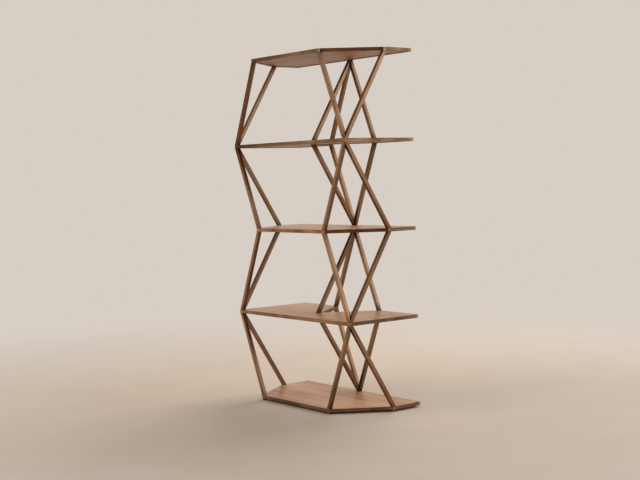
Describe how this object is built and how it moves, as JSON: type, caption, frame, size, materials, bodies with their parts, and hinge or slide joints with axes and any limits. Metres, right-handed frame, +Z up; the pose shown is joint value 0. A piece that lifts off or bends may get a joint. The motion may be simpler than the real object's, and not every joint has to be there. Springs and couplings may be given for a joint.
{
  "type": "shelving unit",
  "caption": "Tall open etagere with faceted shelves held apart by leaning square-tube legs that zigzag from corner to corner, standing on low levelling glides.",
  "frame": {"origin": "on the floor, under the middle of the unit's overall width and depth", "axes": "+X to the right seen from the front, +Y from the front to the straight back edge, +Z up"},
  "size_m": [0.97, 0.46, 1.866],
  "materials": {
    "leg_bronze": "brown bronze patina, satin",
    "rail_bronze": "brown bronze patina, satin",
    "block_bronze": "brown bronze patina, rubbed bright",
    "walnut_panel": "satin lacquered veneer",
    "plain_steel": "zinc plated",
    "glide_nylon": "moulded, matt"
  },
  "bodies": {
    "unit": {"leg_1_back_left": "leg_bronze", "leg_1_back_right": "leg_bronze", "leg_1_centre": "leg_bronze", "leg_1_front_left": "leg_bronze", "leg_1_front_right": "leg_bronze", "leg_1_side_left": "leg_bronze", "leg_1_side_right": "leg_bronze", "leg_2_back_left": "leg_bronze", "leg_2_back_right": "leg_bronze", "leg_2_centre": "leg_bronze", "leg_2_front_left": "leg_bronze", "leg_2_front_right": "leg_bronze", "leg_2_side_left": "leg_bronze", "leg_2_side_right": "leg_bronze", "leg_3_back_left": "leg_bronze", "leg_3_back_right": "leg_bronze", "leg_3_centre": "leg_bronze", "leg_3_front_left": "leg_bronze", "leg_3_front_right": "leg_bronze", "leg_3_side_left": "leg_bronze", "leg_3_side_right": "leg_bronze", "leg_4_back_left": "leg_bronze", "leg_4_back_right": "leg_bronze", "leg_4_centre": "leg_bronze", "leg_4_front_left": "leg_bronze", "leg_4_front_right": "leg_bronze", "leg_4_side_left": "leg_bronze", "leg_4_side_right": "leg_bronze", "panel_screws": "plain_steel", "shelf_1_blocks": "block_bronze", "shelf_1_panel": "walnut_panel", "shelf_1_rails": "rail_bronze", "shelf_2_blocks": "block_bronze", "shelf_2_panel": "walnut_panel", "shelf_2_rails": "rail_bronze", "shelf_3_blocks": "block_bronze", "shelf_3_panel": "walnut_panel", "shelf_3_rails": "rail_bronze", "shelf_4_blocks": "block_bronze", "shelf_4_panel": "walnut_panel", "shelf_4_rails": "rail_bronze", "shelf_5_blocks": "block_bronze", "shelf_5_panel": "walnut_panel", "shelf_5_rails": "rail_bronze"},
    "glide_front_left": {"glide_front_left_stem": "plain_steel", "glide_front_left_pad": "glide_nylon"},
    "glide_front_right": {"glide_front_right_stem": "plain_steel", "glide_front_right_pad": "glide_nylon"},
    "glide_side_left": {"glide_side_left_stem": "plain_steel", "glide_side_left_pad": "glide_nylon"},
    "glide_side_right": {"glide_side_right_stem": "plain_steel", "glide_side_right_pad": "glide_nylon"},
    "glide_back_centre": {"glide_back_centre_stem": "plain_steel", "glide_back_centre_pad": "glide_nylon"}
  },
  "joints": [
    {"name": "glide_front_left_height", "type": "slide", "parent": "unit", "child": "glide_front_left", "axis": [0, 0, -1], "range_m": [0, 0.008]},
    {"name": "glide_front_right_height", "type": "slide", "parent": "unit", "child": "glide_front_right", "axis": [0, 0, -1], "range_m": [0, 0.008]},
    {"name": "glide_side_left_height", "type": "slide", "parent": "unit", "child": "glide_side_left", "axis": [0, 0, -1], "range_m": [0, 0.008]},
    {"name": "glide_side_right_height", "type": "slide", "parent": "unit", "child": "glide_side_right", "axis": [0, 0, -1], "range_m": [0, 0.008]},
    {"name": "glide_back_centre_height", "type": "slide", "parent": "unit", "child": "glide_back_centre", "axis": [0, 0, -1], "range_m": [0, 0.008]}
  ]
}
